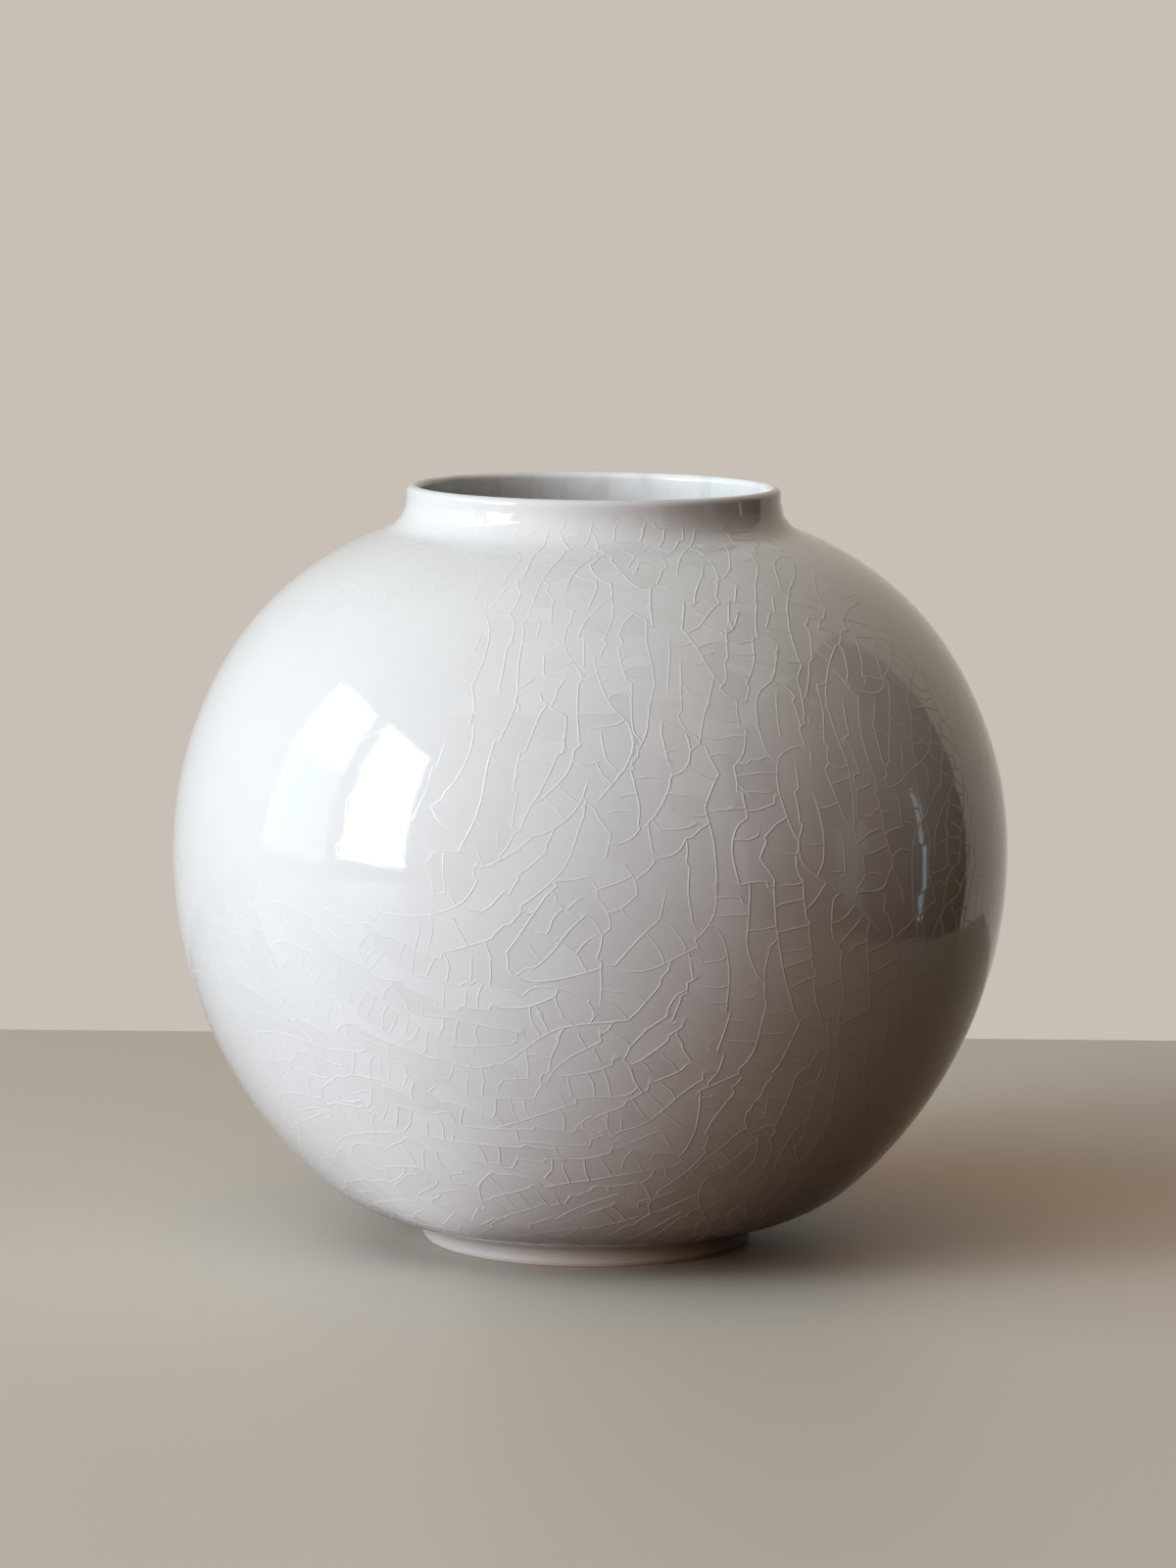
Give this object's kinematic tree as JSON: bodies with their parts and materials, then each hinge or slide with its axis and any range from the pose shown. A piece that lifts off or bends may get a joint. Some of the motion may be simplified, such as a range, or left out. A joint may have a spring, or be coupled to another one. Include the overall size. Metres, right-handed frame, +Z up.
{
  "type": "vase",
  "caption": "Round crackle-glazed porcelain vase with a wide low collar mouth and a small turned foot ring.",
  "frame": {"origin": "centre of the foot, on the surface that the vase stands on", "axes": "+Z up along the vase's axis of turning; X and Y level"},
  "size_m": [0.2, 0.2, 0.1815],
  "materials": {
    "bare_clay": "matt, unglazed",
    "slip": "matt, unglazed",
    "clay_body": "matt, under the glaze",
    "crackle_glaze": "glossy, fine crackle",
    "plain_glaze": "glossy"
  },
  "bodies": {
    "root": {"foot_ring": "bare_clay", "foot_slip_joint": "slip", "lower_bowl": "clay_body", "belly_slip_joint": "slip", "upper_bowl": "clay_body", "collar_slip_joint": "slip", "collar": "clay_body", "outer_glaze": "crackle_glaze", "inner_glaze": "plain_glaze", "recess_glaze": "plain_glaze"}
  },
  "joints": []
}
